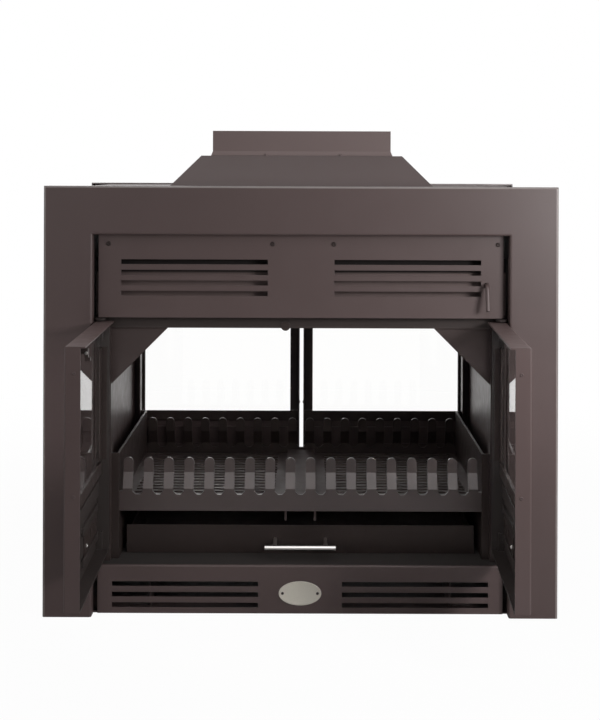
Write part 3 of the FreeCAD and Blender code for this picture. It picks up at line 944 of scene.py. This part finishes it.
def modelNut(name):
    begin()
    r, h = knobNut["across"] / 2, knobNut["flat"]
    cap, base = knobNut["cap"], knobNut["base"]
    bpy.ops.mesh.primitive_cylinder_add(
        vertices=cap["sides"], radius=r * cap["share"], depth=knobNut["dome"], location=(0, 0, h),
    )
    nut = bpy.context.object
    nut.name = name
    settle(nut)
    pickTopEdges(nut, h + knobNut["dome"] / 2)
    bpy.ops.mesh.bevel(offset=r * cap["round"], segments=cap["segments"], affect="EDGES")
    endEdit()
    bpy.ops.mesh.primitive_cylinder_add(
        vertices=base["sides"], radius=r * base["share"], depth=h, location=(0, 0, h / 2),
    )
    foot = bpy.context.object
    settle(foot)
    pickTopEdges(foot, h)
    bpy.ops.mesh.bevel(offset=base["chamfer"], segments=base["segments"], affect="EDGES")
    endEdit()
    return joinAll([nut, foot])


def addKnobNuts():
    model = modelNut("knobNut")
    for doorName, door in doors.items():
        place = (door["hand"] * knobNut["x"], knobNut["y"], knobNut["z"])
        nut = copyTo(model, doorName + "_knobNut", place, (-quarter, 0, 0))
        hang(nut, door)
        finishPiece(nut, doorName + "_slide", "bright_steel")
    discard(model)


addKnobNuts()
print("knob nuts")


# uneven weld run where the flue collar meets the hood
collarWeld = {
    "half": (0.1772, 0.1272), "z": 0.8545, "radius": 0.0021, "sides": 8, "merge": 0.0002,
    "ripple": 0.0042, "swell": 1.22, "uneven": 0.0005, "firstSeed": 3,
}


def modelWeldRun(name, length, seed):
    swell = collarWeld["swell"]
    count = round(length / collarWeld["ripple"])
    run = addRing(name, collarWeld["sides"], collarWeld["radius"])
    pick(run, "VERT", lambda v: True)
    for size in (swell, 1 / swell):
        extrudeBy(collarWeld["ripple"] / 2)
        bpy.ops.transform.resize(value=(size, size, 1), center_override=(0, 0, 0))
    endEdit()
    repeatRun(run, count, length / count, collarWeld["merge"])
    bpy.ops.transform.vertex_random(offset=collarWeld["uneven"], seed=seed)
    endEdit()
    return run


# two heavier spots in the front run, where the weld sagged
weldBlobs = {
    "x": (-0.070, 0.076), "y": -0.1282, "z": 0.8540, "radius": 0.0034,
    "segments": 16, "rings": 10, "sag": (0.8, 0.9, 1.5),
}


def modelBlob(name):
    begin()
    bpy.ops.mesh.primitive_uv_sphere_add(
        segments=weldBlobs["segments"], ring_count=weldBlobs["rings"], radius=weldBlobs["radius"],
    )
    blob = bpy.context.object
    blob.name = name
    pick(blob, "VERT", lambda v: v.co.z < -tiny)
    bpy.ops.transform.resize(value=weldBlobs["sag"], center_override=(0, 0, 0))
    endEdit()
    return blob


def addCollarWeld():
    x, y = collarWeld["half"]
    z = collarWeld["z"]
    sides = (
        (2 * x, (-x, -y, z), (0, quarter, 0)),
        (2 * x, (-x, y, z), (0, quarter, 0)),
        (2 * y, (-x, y, z), (quarter, 0, 0)),
        (2 * y, (x, y, z), (quarter, 0, 0)),
    )
    runs = []
    for i, (length, place, turn) in enumerate(sides):
        model = modelWeldRun("weldRun", length, i + collarWeld["firstSeed"])
        runs.append(copyTo(model, f"weldSide{i + 1}", place, turn))
        discard(model)
    model = modelBlob("weldBlob")
    for blobX in weldBlobs["x"]:
        runs.append(copyTo(model, "weldSpot", (blobX, weldBlobs["y"], weldBlobs["z"])))
    discard(model)
    weld = joinAll(runs)
    weld.name = "collarWeld"
    finishPiece(weld, "casing", "charcoal_steel", finishes["collar"])


addCollarWeld()
print("collar weld")


# bare oval plate on the lower grille, with a raised rim and two rivets
ovalPlate = {
    "wide": 0.0793, "high": 0.0445, "thick": 0.0022, "rim": 0.0035, "sunk": 0.0007, "z": 0.038, "y": -0.275,
    "sides": 72, "chamfer": 0.0003, "segments": 2, "sharp": 0.7, "frontShare": 0.4,
}
plateRivet = {
    "radius": 0.0026, "height": 0.0014, "dome": 0.0011, "socket": 0.0008, "deep": 0.0002, "x": 0.0325,
}


def isFrontEdge(edge):
    inFront = max(v.co.z for v in edge.verts) > ovalPlate["thick"] * ovalPlate["frontShare"]
    return inFront and edge.calc_face_angle(0) > ovalPlate["sharp"]


def addPlate():
    begin()
    t = ovalPlate["thick"]
    # a disc one metre across, stretched to the oval
    bpy.ops.mesh.primitive_cylinder_add(
        vertices=ovalPlate["sides"], radius=0.5, depth=t, location=(0, 0, t / 2),
    )
    plate = bpy.context.object
    plate.name = "ovalPlate"
    plate.scale = (ovalPlate["wide"], ovalPlate["high"], 1)
    settle(plate)
    pick(plate, "FACE", lambda f: f.normal.z > facesUp)
    bpy.ops.mesh.inset(thickness=ovalPlate["rim"], depth=0)
    extrudeBy(-ovalPlate["sunk"])
    pick(plate, "EDGE", isFrontEdge)
    bpy.ops.mesh.bevel(offset=ovalPlate["chamfer"], segments=ovalPlate["segments"], affect="EDGES")
    endEdit()
    plate.rotation_euler = (quarter, 0, 0)
    plate.location = (0, ovalPlate["y"], ovalPlate["z"])
    settle(plate)
    finishPiece(plate, "casing", "bright_steel", finishes["plate"])
    model = modelScrew("plateRivet", plateRivet)
    for name, side in (("Left", -1), ("Right", 1)):
        place = (side * plateRivet["x"], ovalPlate["y"] - t + ovalPlate["sunk"], ovalPlate["z"])
        rivet = copyTo(model, "plateRivet" + name, place, (quarter, 0, 0))
        finishPiece(rivet, "casing", "plain_steel", finishes["drawer"])
    discard(model)


addPlate()
print("oval plate")
